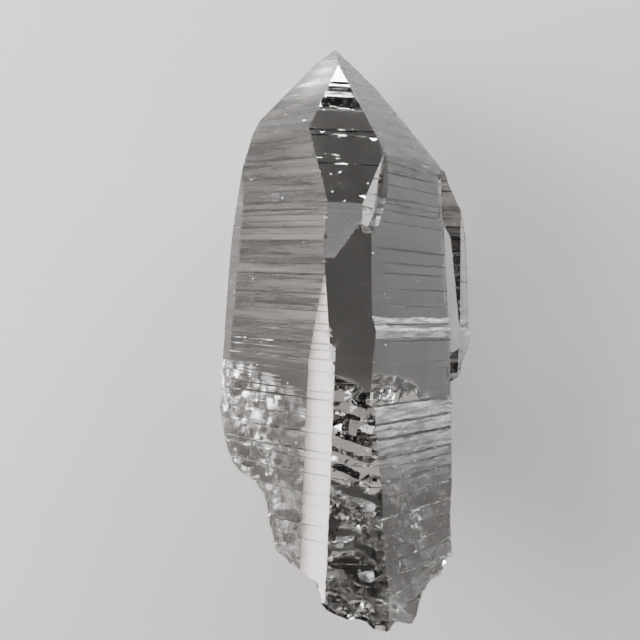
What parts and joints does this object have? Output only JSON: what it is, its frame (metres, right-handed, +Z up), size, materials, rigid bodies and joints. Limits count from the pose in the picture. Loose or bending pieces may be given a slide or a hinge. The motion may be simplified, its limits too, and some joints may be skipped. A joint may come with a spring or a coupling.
{
  "type": "lemurian quartz point",
  "caption": "Clear natural quartz crystal with a faceted tip, finely ledged prism faces, a side crystal on its right flank and an obliquely broken base, lying on its broad rear face.",
  "frame": {"origin": "middle of the crystal's outline, on the surface that its rear face lies on", "axes": "+Z up out of the rear face towards the front plate, +Y along the crystal to its tip, +X to the right flank with the side crystal"},
  "size_m": [0.043, 0.0914, 0.0365],
  "materials": {
    "quartz": "natural crystal faces: clear and bright on the front, satin and finely striated on the left, frosted on the break"
  },
  "bodies": {
    "root": {"quartz_point": "quartz"}
  },
  "joints": []
}
